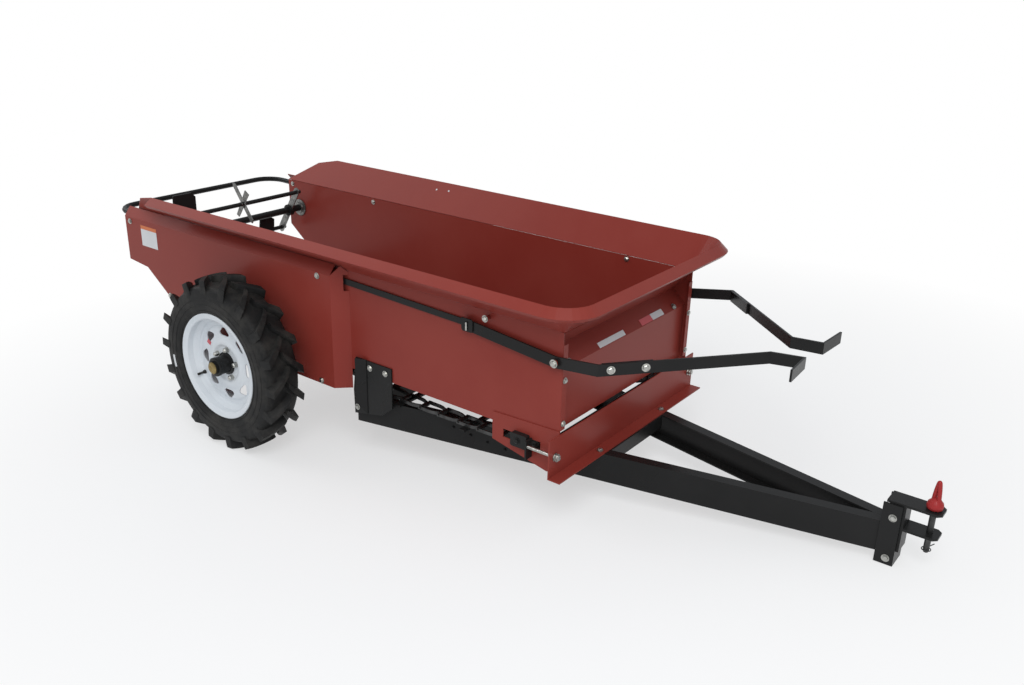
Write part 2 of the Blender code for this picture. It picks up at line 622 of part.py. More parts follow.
# ---- control levers and their links
lever_line = [
    (LEVER_X, PIN_Y + 0.016, PIN_Z + 0.0016), (LEVER_X, PIVOT_Y, PIVOT_Z), (0.4500, -1.5706, 0.6883),
    (0.0804, -1.946, 0.7147), (0.0748, -2.0496, 0.7233), (0.197, -2.0585, 0.7254),
]
LINK_X = (TUB_HALF + 0.0035, TUB_HALF + 0.0075)
for label, side in SIDES.items():
    origin = (side * LEVER_X, PIVOT_Y, PIVOT_Z)
    lever = solid(
        f"control_lever_{label}", "black", *flip(flat_bar(lever_line, BAR_W, BAR_T), side), origin=origin)
    cut(lever, [flip(rod((LEVER_X, PIVOT_Y, PIVOT_Z), "x", -0.02, 0.02, STUD_R + 0.0004, 20), side)])
    clevis_pin = turned(
        [(-0.0128, LINK_PIN_R), (BAR_T / 2 + 0.001, LINK_PIN_R), (BAR_T / 2 + 0.001, 0.009), (BAR_T / 2 + 0.005, 0.009)],
        (LEVER_X, PIN_Y, PIN_Z), "x", 16)
    fuse(lever, [flip(clevis_pin, side)])
    line = [(PIN_Y - 0.012, PIN_Z), (LINK_EYE_Y + 0.014, LINK_EYE_Z)]
    (ya, za), (yb, zb) = line
    strip = prism([(ya, za - 0.011), (yb, zb - 0.011), (yb, zb + 0.011), (ya, za + 0.011)], "x", *LINK_X)
    link = solid(f"control_link_{label}", "black", *flip(strip, side), origin=(side * LINK_X[0], PIN_Y, PIN_Z))
    cut(link, [
        flip(rod((TUB_HALF, PIN_Y, PIN_Z), "x", -0.02, 0.02, LINK_PIN_R + 0.0004, 16), side),
        flip(rod((TUB_HALF, LINK_EYE_Y, LINK_EYE_Z), "x", -0.02, 0.02, LINK_PIN_R + 0.0004, 16), side),
    ])

# ---- park the machine on its wheels and the foot of the hitch bracket, centred over the origin
turn = Matrix.Rotation(PITCH, 4, "X")
root.matrix_world = Matrix.Translation((0, 0, TYRE_R)) @ turn @ Matrix.Translation((0, 0, -AXLE_Z))
bpy.context.view_layer.update()
graph = bpy.context.evaluated_depsgraph_get()
reach = []
for thing in bpy.context.scene.objects:
    if thing.type == "MESH" and not thing.hide_render:
        shape = thing.evaluated_get(graph)
        reach += [(thing.matrix_world @ v.co).y for v in shape.data.vertices]
root.matrix_world = Matrix.Translation((0, -(min(reach) + max(reach)) / 2, 0)) @ root.matrix_world
bpy.context.view_layer.update()
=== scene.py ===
import json
import math

import bpy
import numpy as np
from mathutils import Matrix, Vector


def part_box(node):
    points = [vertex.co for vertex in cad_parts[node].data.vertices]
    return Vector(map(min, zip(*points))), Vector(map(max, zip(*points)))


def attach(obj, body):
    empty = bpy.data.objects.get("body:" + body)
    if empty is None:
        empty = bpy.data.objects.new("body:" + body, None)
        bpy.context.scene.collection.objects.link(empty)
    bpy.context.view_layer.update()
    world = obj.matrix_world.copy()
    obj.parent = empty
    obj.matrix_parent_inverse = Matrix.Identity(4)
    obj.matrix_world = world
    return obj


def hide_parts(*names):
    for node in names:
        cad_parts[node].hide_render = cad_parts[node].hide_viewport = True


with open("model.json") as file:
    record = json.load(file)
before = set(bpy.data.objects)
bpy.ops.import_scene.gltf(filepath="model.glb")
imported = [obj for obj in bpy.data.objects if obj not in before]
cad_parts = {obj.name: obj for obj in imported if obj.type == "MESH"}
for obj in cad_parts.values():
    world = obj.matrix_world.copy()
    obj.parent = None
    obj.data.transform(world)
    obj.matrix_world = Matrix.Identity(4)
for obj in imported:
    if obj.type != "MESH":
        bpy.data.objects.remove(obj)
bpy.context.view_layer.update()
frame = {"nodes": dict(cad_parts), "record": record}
nodes = frame["nodes"]

# The machine is parked nose down: level sizes are turned about the axle by the pitch.
axleLow, axleHigh = (Vector(c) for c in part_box("axle"))
axleY = (axleLow.y + axleHigh.y) / 2
axleZ = (axleLow.z + axleHigh.z) / 2
levelAxle = 0.331
noseY, footZ = -2.391, 0.14  # foot of the hitch bracket, level
pitch = math.asin(axleZ / math.hypot(noseY, levelAxle - footZ)) - math.atan2(levelAxle - footZ, -noseY)
parked = (Matrix.Translation((0, axleY, axleZ)) @ Matrix.Rotation(pitch, 4, "X")
          @ Matrix.Translation((0, 0, -levelAxle)))

# Sizes of the tub's sheet and of the covers beside the wheels, shared by several pieces.
tub = {"half": 0.417, "front": -1.4226, "top": 0.7595}
cover = {"x": 0.466}
facets = 96  # round a full turn


# A finished piece from rows of points and faces, put in the parked frame.
def makeMesh(name, verts, faces, material, body, level=True, smooth=True, angle=35, slot=None):
    points = np.asarray(verts, dtype=float).reshape(-1, 3)
    if level:
        turn = np.array(parked)
        points = points @ turn[:3, :3].T + turn[:3, 3]
    mesh = bpy.data.meshes.new(name)
    mesh.from_pydata(points.tolist(), [], [list(map(int, f)) for f in faces])
    mesh.validate()
    mesh.polygons.foreach_set("use_smooth", [smooth] * len(mesh.polygons))
    if smooth:
        mesh.set_sharp_from_angle(angle=math.radians(angle))
    piece = bpy.data.objects.new(name, mesh)
    bpy.context.scene.collection.objects.link(piece)
    mesh.materials.append(material)
    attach(piece, body)
    return piece


# Quads over a grid of points, rows by columns, closed where told.
def gridFaces(rows, columns, wrapRows=False, wrapColumns=False):
    r = np.arange(rows if wrapRows else rows - 1)
    c = np.arange(columns if wrapColumns else columns - 1)
    r, c = np.meshgrid(r, c, indexing="ij")
    nextR, nextC = (r + 1) % rows, (c + 1) % columns
    quads = np.stack([r * columns + c, r * columns + nextC, nextR * columns + nextC, nextR * columns + c], -1)
    return quads.reshape(-1, 4)


# Profile of (along, radius) turned round an axis through centre; closed joins its two ends.
def lathe(profile, centre, axis=(1, 0, 0), count=facets, closed=True):
    profile = np.asarray(profile, dtype=float)
    axis = Vector(axis).normalized()
    side = axis.orthogonal().normalized()
    up = axis.cross(side)
    t = np.linspace(0, 2 * np.pi, count, endpoint=False)[:, None, None]
    along, radius = profile[None, :, :1], profile[None, :, 1:]
    points = (np.array(centre) + along * np.array(axis)
              + radius * (np.cos(t) * np.array(side) + np.sin(t) * np.array(up)))
    return points.reshape(-1, 3), gridFaces(count, len(profile), True, closed)


# Several (points, faces) as one.
def joined(shapes):
    points, faces, start = [], [], 0
    for p, f in shapes:
        p = np.asarray(p, dtype=float).reshape(-1, 3)
        points.append(p)
        faces += [[int(i) + start for i in face] for face in f]
        start += len(p)
    return np.concatenate(points), faces


# The shape turned about an axis through centre.
def spun(shape, angle, centre, axis="X"):
    turn = np.array(Matrix.Rotation(angle, 3, axis))
    return (np.asarray(shape[0]) - centre) @ turn.T + centre, shape[1]


# Materials
# A plain principled material, its tree and its shader.
def newMaterial(name, colour, rough, metal=0.0, coat=0.0):
    found = bpy.data.materials.new(name)
    found.use_nodes = True
    tree = found.node_tree
    shader = tree.nodes["Principled BSDF"]
    shader.inputs["Base Color"].default_value = (*colour, 1)
    shader.inputs["Roughness"].default_value = rough
    shader.inputs["Metallic"].default_value = metal
    shader.inputs["Coat Weight"].default_value = coat
    shader.inputs["Coat Roughness"].default_value = 0.15
    shader.inputs["Specular IOR Level"].default_value = 0.16
    return found, tree, shader


# Noise on Object coordinates.
def noise(tree, scale, detail=4.0, rough=0.55):
    where = tree.nodes.new("ShaderNodeTexCoord")
    found = tree.nodes.new("ShaderNodeTexNoise")
    found.inputs["Scale"].default_value = scale
    found.inputs["Detail"].default_value = detail
    found.inputs["Roughness"].default_value = rough
    tree.links.new(where.outputs["Object"], found.inputs["Vector"])
    return found


# A value mapped from one range to another.
def ramp(tree, source, low, high, start=0.35, stop=0.65):
    found = tree.nodes.new("ShaderNodeMapRange")
    found.inputs["From Min"].default_value = start
    found.inputs["From Max"].default_value = stop
    found.inputs["To Min"].default_value = low
    found.inputs["To Max"].default_value = high
    tree.links.new(source, found.inputs["Value"])
    return found.outputs["Result"]


# Two colours mixed by a factor.
def blendColour(tree, factor, first, second):
    found = tree.nodes.new("ShaderNodeMix")
    found.data_type = "RGBA"
    found.inputs[6].default_value = (*first, 1)
    found.inputs[7].default_value = (*second, 1)
    tree.links.new(factor, found.inputs[0])
    return found.outputs[2]


# A bump from a height, on the shader's normal.
def addBump(tree, shader, source, depth, strength=0.5):
    found = tree.nodes.new("ShaderNodeBump")
    found.inputs["Distance"].default_value = depth
    found.inputs["Strength"].default_value = strength
    tree.links.new(source, found.inputs["Height"])
    tree.links.new(found.outputs["Normal"], shader.inputs["Normal"])


# Sprayed paint: slow changes of tone, a fine orange peel and uneven gloss.
def paint(name, colour, dusty, rough, coat=0.02, orangePeel=0.0004):
    found, tree, shader = newMaterial(name, colour, rough, coat=coat)
    slow = noise(tree, 2.2, 5)
    fine = noise(tree, 160, 2)
    tone = blendColour(tree, ramp(tree, slow.outputs["Fac"], 0, 1), colour, dusty)
    tree.links.new(tone, shader.inputs["Base Color"])
    tree.links.new(ramp(tree, slow.outputs["Fac"], rough - 0.05, rough + 0.08), shader.inputs["Roughness"])
    addBump(tree, shader, fine.outputs["Fac"], orangePeel, 0.25)
    return found


# Bare or plated metal with a grain in tone, gloss and bump.
def metal(name, colour, rough, scale=90):
    found, tree, shader = newMaterial(name, colour, rough, metal=1.0)
    grain = noise(tree, scale, 6)
    darker = tuple(c * 0.72 for c in colour)
    tree.links.new(blendColour(tree, ramp(tree, grain.outputs["Fac"], 0, 1), colour, darker),
                   shader.inputs["Base Color"])
    tree.links.new(ramp(tree, grain.outputs["Fac"], rough - 0.08, rough + 0.12), shader.inputs["Roughness"])
    addBump(tree, shader, grain.outputs["Fac"], 0.0003, 0.3)
    return found


# Tyre rubber, dusty in patches, with a fine grain.
def rubber(name):
    found, tree, shader = newMaterial(name, (0.013, 0.013, 0.013), 0.55)
    dust, grain = noise(tree, 14, 6, 0.65), noise(tree, 240, 3)
    share = ramp(tree, dust.outputs["Fac"], 0, 1, 0.45, 0.85)
    tone = blendColour(tree, share, (0.013, 0.013, 0.013), (0.050, 0.047, 0.042))
    tree.links.new(tone, shader.inputs["Base Color"])
    addBump(tree, shader, grain.outputs["Fac"], 0.0006, 0.35)
    return found


red = paint("redPaint", (0.235, 0.033, 0.024), (0.258, 0.043, 0.032), 0.34)
black = paint("blackPaint", (0.010, 0.010, 0.010), (0.016, 0.016, 0.016), 0.30)
white = paint("whitePaint", (0.66, 0.70, 0.74), (0.74, 0.77, 0.79), 0.30)
steel = metal("dullSteel", (0.10, 0.10, 0.10), 0.5, 40)
zinc = metal("zincPlate", (0.52, 0.52, 0.49), 0.34)
bladeSteel = metal("bladeSteel", (0.27, 0.27, 0.26), 0.42)
brass = metal("brassCap", (0.36, 0.27, 0.12), 0.42)
tyreRubber = rubber("tyreRubber")
gripRed = paint("dippedGrip", (0.30, 0.018, 0.020), (0.36, 0.030, 0.030), 0.45, coat=0.1)
labelWhite = paint("labelWhite", (0.70, 0.71, 0.72), (0.62, 0.63, 0.64), 0.45, coat=0.2)
labelOrange = paint("labelOrange", (0.62, 0.16, 0.05), (0.60, 0.18, 0.07), 0.45, coat=0.2)
labelRed = paint("labelRed", (0.55, 0.09, 0.11), (0.58, 0.12, 0.13), 0.45, coat=0.2)
print("materials done")

# CAD nodes keep their shape and take these finishes
finishes = {"red": red, "black": black, "white": white, "rubber": tyreRubber, "zinc": zinc, "steel": steel,
            "grip_red": gripRed}
for entry in frame["record"]["subparts"]:
    node = nodes[entry["node"]]
    node.data.materials.clear()
    node.data.materials.append(finishes[entry["material_slot"]])
for label in ("left", "right"):
    nodes[f"beater_bearing_{label}"].data.materials[0] = bladeSteel
print("finishes done")


# Wheels
# The carcass is a lathe: radius falls with the square of the sideways share, and faster at the shoulder.
# Each tread bar runs from the middle of the tread to the shoulder and leans back as it goes; it widens
# outwards and its foot is sunk in the carcass.
wheel = {"track": 0.593, "radius": 0.3435, "half": 0.072, "seat": 0.0204}
nutRing = {"count": 5, "r": 0.0585, "start": -9}
vents = {"count": 8, "r": 0.127, "halfAcross": 0.0262, "halfUp": 0.0172}
treadBars = {"count": 18, "inner": 0.0095, "outer": 0.0150, "lean": 0.235, "steps": 10, "overlap": -0.007}
sidewall = [(0.0722, 0.300), (0.0748, 0.280), (0.0762, 0.258), (0.0756, 0.238), (0.0728, 0.222), (0.0688, 0.2130),
            (0.0655, 0.2085), (0.0618, 0.2060)]


# Outer radius of the carcass at a sideways offset from the middle.
def carcassRadius(offset):
    share = np.clip(np.abs(offset) / wheel["half"], 0, 1)
    return wheel["radius"] - 0.0260 - 0.0060 * share ** 2 - 0.011 * share ** 9


# One tread bar: a row of six-cornered rings from the middle of the tread to the shoulder. Its angle grows with the
# 0.85th power of the share and its top drops with the fourth, so it flattens before it turns down the shoulder.
def treadBar(side, hand, index):
    steps = treadBars["steps"]
    u = np.linspace(0.0, 1.0, steps)
    offset = np.append(treadBars["overlap"] + (0.0725 - treadBars["overlap"]) * u, [0.0745, 0.0752])
    u = np.append(u, [1.0, 1.0])
    start = 2 * np.pi * (index + (0.5 if hand > 0 else 0)) / treadBars["count"]
    middle = start + treadBars["lean"] * u ** 0.85
    base = np.append(carcassRadius(offset[:steps]) - 0.006, [0.296, 0.288])
    top = np.append(wheel["radius"] - 0.0005 - 0.0045 * u[:steps] ** 4, [0.324, 0.297])
    half = treadBars["inner"] + (treadBars["outer"] - treadBars["inner"]) * u
    rings = []
    for share, radius in ((1.25, base), (1.0, top - 0.0008), (0.94, top), (-0.94, top), (-1.0, top - 0.0008),
                          (-1.25, base)):
        angle = middle + share * half / 0.32
        rings.append(np.stack([hand * offset, radius * np.cos(angle), radius * np.sin(angle)], -1))
    points = np.stack(rings, 1)
    points[..., 0] = points[..., 0] * side
    count = len(rings)
    faces = [list(f) for f in gridFaces(steps + 2, count, False, True)]
    faces += [list(range(count))[::-1], [count * (steps + 1) + i for i in range(count)]]
    return points.reshape(-1, 3), faces


# The shape shifted by a vector.
def moved(shape, by):
    return np.asarray(shape[0]) + np.asarray(by), shape[1]


# A thin patch on a disc: radius by angle from straight up, turning rearwards.
def arcPatch(centre, side, offset, radii, angles, thick=0.0005):
    r, a = np.meshgrid(np.linspace(*radii, 4), np.linspace(*angles, 12), indexing="ij")
    top = np.stack([np.full_like(r, side * offset), -r * np.sin(a), r * np.cos(a)], -1).reshape(-1, 3) + centre
    return slab(top, 4, 12, (side * thick, 0, 0))


# A closed thin piece from a grid of points and the same grid moved by lift.
def slab(top, rows, columns, lift):
    count = rows * columns
    quads = gridFaces(rows, columns)
    edge = np.concatenate([np.arange(columns), np.arange(1, rows) * columns + columns - 1,
                           (rows - 1) * columns + np.arange(columns - 2, -1, -1),
                           np.arange(rows - 2, 0, -1) * columns])
    after = np.roll(edge, -1)
    sides = np.stack([edge, after, after + count, edge + count], -1)
    points = np.concatenate([top, top + np.asarray(lift)])
    return points, [list(f) for f in np.concatenate([quads[:, ::-1], quads + count, sides])]


# One wheel: the tyre and the disc with its vents replace two nodes; nuts, valve, hub rings and marks are added.
# Side is -1 for the right one.
def buildWheel(label, side):
    centre = np.array((side * wheel["track"], 0, levelAxle))
    body = f"wheel_{label}"
    s = np.linspace(-1, 1, 31)
    outer = np.stack([s * wheel["half"], carcassRadius(s * wheel["half"])], -1)
    wall = np.array(sidewall)
    profile = np.concatenate([wall[::-1] * (-1, 1), outer, wall])
    profile[:, 0] *= side
    shapes = [lathe(profile, centre)]
    for hand in (-1, 1):
        for index in range(treadBars["count"]):
            shapes.append(moved(treadBar(side, hand, index), centre))
    for hand, radius in ((1, 0.2215), (1, 0.2450), (1, 0.2680), (-1, 0.2450)):  # moulded rings on the sidewalls
        at = float(np.interp(radius, wall[::-1, 1], wall[::-1, 0]))
        ring = [(at - 0.001, radius - 0.0028), (at + 0.0016, radius - 0.001), (at + 0.0016, radius + 0.001),
                (at - 0.001, radius + 0.0028)]
        shapes.append(lathe([(side * hand * a, r) for a, r in ring], centre))
    points, faces = joined(shapes)
    tyre = makeMesh(f"tyreTread_{label}", points, faces, tyreRubber, body, angle=38, slot="rubber")
    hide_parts(f"tyre_{label}")

    # Disc wheel: lathe with lips, bead seats and a drop centre, then eight vents cut through the disc
    rim = [(-0.0700, 0.2075), (-0.0690, 0.2105), (-0.0660, 0.2095), (-0.0630, 0.195), (-0.040, 0.190), (-0.030, 0.176),
           (0.024, 0.176), (0.036, 0.190), (0.0625, 0.194), (0.0650, 0.2085), (0.0680, 0.2112), (0.0706, 0.2098),
           (0.0712, 0.2070), (0.0695, 0.2020), (0.0672, 0.1960), (0.0655, 0.1900), (0.0630, 0.1875), (0.0400, 0.1855),
           (0.0370, 0.1835), (0.0300, 0.1730), (0.0250, 0.1695), (0.0195, 0.1675), (0.0180, 0.1600), (0.0185, 0.1520),
           (0.0215, 0.1470), (0.0225, 0.1400), (0.0215, 0.1120), (0.0230, 0.1040), (0.0265, 0.0960), (0.0285, 0.0860),
           (0.0270, 0.0760), (0.0215, 0.0690), (0.0204, 0.0640), (0.0204, 0.0365), (0.0168, 0.0365), (0.0168, 0.0640),
           (0.0180, 0.0710), (0.0235, 0.0780), (0.0250, 0.0860), (0.0230, 0.0950), (0.0190, 0.1030), (0.0178, 0.1120),
           (0.0188, 0.1400), (0.0150, 0.1520), (0.0145, 0.1680), (-0.026, 0.1720), (-0.038, 0.1870), (-0.064, 0.1915)]
    points, faces = lathe([(side * a, r) for a, r in rim], centre)
    disc = makeMesh(f"wheelDisc_{label}", points, faces, white, body, angle=26, slot="white")
    holes = []
    t = np.linspace(0, 2 * np.pi, 24, endpoint=False)
    bulge = 1 - 0.16 * np.cos(3 * t + np.pi)  # an oval with three soft corners
    ring = np.stack([0 * t, vents["halfAcross"] * bulge * np.sin(t),
                     vents["r"] + vents["halfUp"] * bulge * np.cos(t)], -1)
    for k in range(vents["count"]):
        vent = (np.concatenate([ring + (side * x, 0, 0) for x in (0.008, 0.035)]),
                [list(f) for f in gridFaces(2, 24, False, True)] + [list(range(24))[::-1], list(range(24, 48))])
        holes.append(moved(spun(vent, -2 * math.pi * k / vents["count"], np.zeros(3)), centre))
    points, faces = joined(holes)
    cutter = makeMesh(f"ventCutter_{label}", points, faces, white, body, smooth=False)
    cutter.hide_render = True
    cutter.hide_viewport = True
    step = disc.modifiers.new("vents", "BOOLEAN")
    step.operation, step.solver, step.object = "DIFFERENCE", "EXACT", cutter
    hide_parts(f"rim_{label}")

    nuts = []
    for k in range(nutRing["count"]):
        angle = math.radians(nutRing["start"] + 360 * k / nutRing["count"])
        spot = centre + (side * wheel["seat"], nutRing["r"] * math.sin(angle), nutRing["r"] * math.cos(angle))
        nuts.append(lathe([(0, 0.0002), (0, 0.0118), (side * 0.003, 0.0118), (side * 0.0035, 0.0100),
                           (side * 0.0150, 0.0100), (side * 0.0190, 0.0062), (side * 0.0195, 0.0002)], spot, count=6))
    points, faces = joined(nuts)
    makeMesh(f"wheelNuts_{label}", points, faces, zinc, body, angle=25)
    spot = centre + np.array((side * 0.0195, 0.149, -0.079))
    stem = lathe([(0, 0.0002), (0, 0.0085), (side * 0.005, 0.0075), (side * 0.011, 0.0045), (side * 0.023, 0.0042),
                  (side * 0.024, 0.0050), (side * 0.034, 0.0050), (side * 0.035, 0.0002)], spot, count=20)
    makeMesh(f"valveStem_{label}", *stem, tyreRubber, body)
    # Hub: a loose ring at the disc, the brass end cap with its dimple and the collar behind it
    ring = [(0.0206, 0.0365), (0.0206, 0.0450), (0.0262, 0.0450), (0.0285, 0.0405), (0.0300, 0.0358)]
    makeMesh(f"hubRing_{label}", *lathe([(side * a, r) for a, r in ring], centre, count=48), black, body)
    cap = [(0.0862, 0.0002), (0.0862, 0.0230), (0.0895, 0.0235), (0.0925, 0.0200), (0.0933, 0.0120), (0.0912, 0.0100),
           (0.0902, 0.0002)]
    makeMesh(f"hubCap_{label}", *lathe([(side * a, r) for a, r in cap], centre, count=48), brass, body)
    collar = [(0.0655, 0.0358), (0.0665, 0.0372), (0.0770, 0.0372), (0.0784, 0.0350), (0.0784, 0.0270),
              (0.0772, 0.0262), (0.0700, 0.0345)]
    makeMesh(f"hubCollar_{label}", *lathe([(side * a, r) for a, r in collar], centre, count=48), black, body)
    # A small plain sticker on the disc and a pale batch mark on the sidewall
    mark = arcPatch(centre, side, 0.0229, (0.106, 0.127), (-1.08, -0.93))
    makeMesh(f"discSticker_{label}", *mark, labelRed, body, smooth=False)
    mark = arcPatch(centre, side, 0.0768, (0.2580, 0.2700), (-1.83, -1.64))
    makeMesh(f"sidewallMark_{label}", *mark, labelWhite, body, smooth=False)


for label, side in (("right", -1), ("left", 1)):
    buildWheel(label, side)
print("wheels done")


# Small shapes
# A washer and a hexagon head with a bevelled top.
def boltShape(spot, way, size=0.0095, height=0.007, turn=0.2):
    washer = lathe([(0, 0.0002), (0, size * 1.4), (0.0016, size * 1.4), (0.0016, 0.0002)], spot, way, 20)
    head = lathe([(0.001, 0.0002), (0.001, size), (height * 0.8, size), (height, size * 0.78), (height, 0.0002)],
                 spot, way, 6)
    return joined([washer, head])


# A box; bevel takes its edges along X off.
def boxShape(low, high, bevel=0.0):
    (x0, y0, z0), (x1, y1, z1), b = low, high, bevel
    ring = ([(y0, z0), (y1, z0), (y1, z1), (y0, z1)] if not b else
            [(y0 + b, z0), (y1 - b, z0), (y1, z0 + b), (y1, z1 - b),
             (y1 - b, z1), (y0 + b, z1), (y0, z1 - b), (y0, z0 + b)])
    return extruded(ring, x0, x1)


# Corners (y, z) drawn out along X.
def extruded(ring, low, high):
    count = len(ring)
    points = [(x, y, z) for x in (low, high) for y, z in ring]
    faces = [list(range(count))[::-1], list(range(count, 2 * count))]
    faces += [[i, (i + 1) % count, (i + 1) % count + count, i + count] for i in range(count)]
    return np.array(points), faces


# A thin plate from four corners and a thickness vector.
def quadPlate(corners, lift):
    corners = np.array(corners, dtype=float)
    return (np.concatenate([corners, corners + np.asarray(lift)]),
            [[3, 2, 1, 0], [4, 5, 6, 7], [0, 1, 5, 4], [1, 2, 6, 5], [2, 3, 7, 6], [3, 0, 4, 7]])


# Bolts
coverBolts = [(0.794, 0.722), (-0.375, 0.729), (-0.371, 0.314), (0.556, 0.440)]  # y, z
bracketBolts = [(-0.586, 0.410), (-0.663, 0.410), (-0.515, 0.234)]
innerBolts = [(0.216, 0.742), (-1.141, 0.746), (0.770, 0.742)]
flangeBolts = [(0.4045, 0.598), (0.4045, 0.449)]  # x, z on the wall's front flange
for label, side in (("right", -1), ("left", 1)):
    out, inward = (side, 0, 0), (-side, 0, 0)
    shapes = [boltShape((side * (cover["x"] + 0.0002), y, z), out, 0.0085) for y, z in coverBolts]
    shapes += [boltShape((side * (tub["half"] + 0.0066), y, z), out, 0.0085) for y, z in bracketBolts]
    shapes += [boltShape((side * (tub["half"] - 0.0032), y, z), inward, 0.0080) for y, z in innerBolts]
    shapes += [boltShape((side * x, tub["front"] - 0.0022, z), (0, -1, 0), 0.0075) for x, z in flangeBolts]
    shapes.append(boltShape((side * (tub["half"] + 0.0287), -1.408, 0.664), out, 0.0100))
    shapes.append(boltShape((side * (tub["half"] + 0.0212), -1.131, 0.741), out, 0.0085))
    shapes.append(boltShape((side * 0.207, -1.449, 0.2812), (0, 0, 1), 0.0085))
    shapes.append(boltShape((side * 0.338, -1.3962, 0.6335), (0, -0.707, 0.707), 0.0085))
    shapes += [boltShape((side * 0.0402, -2.368, z), out, 0.0088) for z in (0.301, 0.162)]
    makeMesh(f"bolts_{label}", *joined(shapes), zinc, "chassis", angle=25)
print("bolts done")


# Tub: folded front flanges, blank labels and the bent edge of each frame bracket
for label, side in (("right", -1), ("left", 1)):
    front = tub["front"]
    flange = extruded([(front - 0.0020, 0.4260), (front - 0.0003, 0.4260), (front - 0.0003, 0.7180),
                       (front - 0.0020, 0.7180)], side * 0.3930, side * 0.4168)
    points, faces = flange
    faces = [f[::-1] for f in faces] if side < 0 else faces
    makeMesh(f"wallFlange_{label}", points, faces, red, "chassis", smooth=False)
    x = side * (tub["half"] + 0.0066)
    bent = quadPlate([(x, -0.570, 0.222), (x, -0.570, 0.440), (x + side * 0.015, -0.528, 0.440),
                      (x + side * 0.015, -0.528, 0.262)], (side * 0.003, 0.001, 0))
    makeMesh(f"bracketEdge_{label}", *bent, black, "chassis", smooth=False)
    x = side * (cover["x"] + 0.0003)
    for name, low, high, finish in (("Sheet", 0.6300, 0.7030, labelWhite), ("Head", 0.7032, 0.7190, labelOrange)):
        sheet = quadPlate([(x, 0.720, low), (x, 0.610, low), (x, 0.610, high), (x, 0.720, high)], (side * 0.0004, 0, 0))
        makeMesh(f"label{name}_{label}", *sheet, finish, "chassis", smooth=False)


# A point on the front panel's leaning flap, up along its slope.
def onFlap(x, up):
    return (x, -1.4024 + 0.7037 * up, 0.6235 + 0.7104 * up)


lift = (0, -0.00028, 0.00028)
for name, left, right, low, high, finish in (
    ("White", -0.166, -0.004, 0.0030, 0.0230, labelWhite), ("Red", 0.106, 0.182, 0.0030, 0.0270, labelRed),
    ("Pale", 0.183, 0.262, 0.0030, 0.0270, labelWhite),
):
    corners = [np.add(onFlap(x, up), lift) for x, up in ((left, low), (right, low), (right, high), (left, high))]
    makeMesh(f"panelLabel{name}", *quadPlate(corners, np.multiply(lift, 1.5)), finish, "chassis", smooth=False)
# Two small open holes in the left flare, as pale discs on its inner face: painted light, the bright backdrop seen
# through the holes painted onto the discs.
flareUp = math.atan2(0.1085, 0.093)  # its slope
face = np.array((-math.sin(flareUp), 0, math.cos(flareUp)))
holes = [lathe([(0.0034, 0.0002), (0.0034, 0.0042), (0.0024, 0.0042), (0.0024, 0.0002)],
               (tub["half"] + d, y, tub["top"] + math.tan(flareUp) * d), face, 16)
         for d, y in ((0.068, -0.112), (0.071, -0.180))]
makeMesh("flareHoles", *joined(holes), labelWhite, "chassis", smooth=False)
print("labels done")


# Take-ups: black block and tab, a zinc screw with nuts
takeup = {"y": -1.318, "z": 0.347, "x": 0.445, "pitch": 0.0022, "turns": 56, "r": 0.0060, "nuts": (-0.1095, -0.1185)}
for label, side in (("right", -1), ("left", 1)):
    x0, x1 = side * (tub["half"] + 0.0046), side * (tub["half"] + 0.0243)
    body = joined([
        boxShape((min(x0, x1), -1.310, 0.328), (max(x0, x1), -1.245, 0.376), 0.004),
        boxShape((min(x0, side * 0.455), -1.3205, 0.302), (max(x0, side * 0.455), -1.3145, 0.370)),
        boltShape((x1, -1.272, 0.351), (side, 0, 0), 0.0090),
    ])
    block = makeMesh(f"takeupBlock_{label}", *body, black, "chassis", angle=25)
    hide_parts(f"takeup_{label}")
    spot = (side * takeup["x"], takeup["y"], takeup["z"])
    thread = [(-0.0002, 0.0002)] + [(-takeup["pitch"] * k / 2, takeup["r"] - 0.0004 * (k % 2))
                                    for k in range(2 * takeup["turns"])]
    screw = [lathe(thread + [(thread[-1][0], 0.0002)], spot, (0, 1, 0), 16)]
    for at in takeup["nuts"]:
        screw.append(boltShape((spot[0], spot[1] + at, spot[2]), (0, -1, 0), 0.0098, 0.0085))
    makeMesh(f"takeupScrew_{label}", *joined(screw), zinc, "chassis", angle=25)
print("take-ups done")


# Apron: pintle chain links along a loop round both shafts, with angle slats bolted across
# The loop is read by distance: an arc round each shaft and straight runs between, as (y, z, direction).
chain = {"front": -1.275, "rear": 0.560, "z": 0.350, "r": 0.044, "x": 0.345, "links": 44, "slats": 13}
ends = []
for y, start in ((chain["front"], 90), (chain["rear"], -90)):
    angles = np.radians(start + np.linspace(0, 180, 15))
    ends.append(np.stack([y + chain["r"] * np.cos(angles), chain["z"] + chain["r"] * np.sin(angles)], -1))
slack = [(-1.15, 0.2950), (-0.80, 0.2940), (-0.62, 0.3000), (-0.30, 0.3612), (0.22, 0.3612)]  # the run under the bed
track = np.concatenate([ends[0], slack, ends[1], ends[0][:1]])
steps = np.linalg.norm(np.diff(track, axis=0), axis=1)
along = np.concatenate([[0], np.cumsum(steps)])


# Points (distance, outward, x) laid on the loop.
def onTrack(points):
    d = np.mod(points[:, 0], along[-1])
    y, z = np.interp(d, along, track[:, 0]), np.interp(d, along, track[:, 1])
    ahead, behind = np.mod(d + 0.004, along[-1]), np.mod(d - 0.004, along[-1])
    way = np.stack([np.interp(ahead, along, track[:, k]) - np.interp(behind, along, track[:, k]) for k in (0, 1)], -1)
    way /= np.linalg.norm(way, axis=1)[:, None]
    return np.stack([points[:, 2], y + points[:, 1] * way[:, 1], z - points[:, 1] * way[:, 0]], -1)


